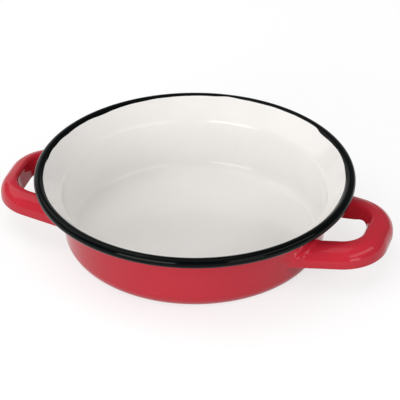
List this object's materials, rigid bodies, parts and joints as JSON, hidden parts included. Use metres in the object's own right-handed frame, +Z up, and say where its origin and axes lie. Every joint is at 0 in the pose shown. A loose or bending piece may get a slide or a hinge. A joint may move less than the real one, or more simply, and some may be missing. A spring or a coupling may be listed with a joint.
{
  "type": "enamel egg dish",
  "caption": "Shallow round egg dish of enamelled steel with a flared white inside, a curled black rim, a red outside and a level loop handle on either side.",
  "frame": {"origin": "centre of the base, on the surface that the dish stands on", "axes": "+Z up along the axis of the dish, +X through the right handle, -Y towards the front"},
  "size_m": [0.2008, 0.16, 0.0385],
  "materials": {
    "sheet_steel": "satin",
    "white_enamel": "gloss",
    "red_enamel": "gloss",
    "black_enamel": "gloss",
    "red_enamelled_steel": "gloss"
  },
  "bodies": {
    "root": {"steel_pan": "sheet_steel", "white_lining": "white_enamel", "red_coat": "red_enamel", "black_rim": "black_enamel", "right_handle": "red_enamelled_steel", "right_front_weld": "red_enamelled_steel", "right_back_weld": "red_enamelled_steel", "left_handle": "red_enamelled_steel", "left_back_weld": "red_enamelled_steel", "left_front_weld": "red_enamelled_steel"}
  },
  "joints": []
}
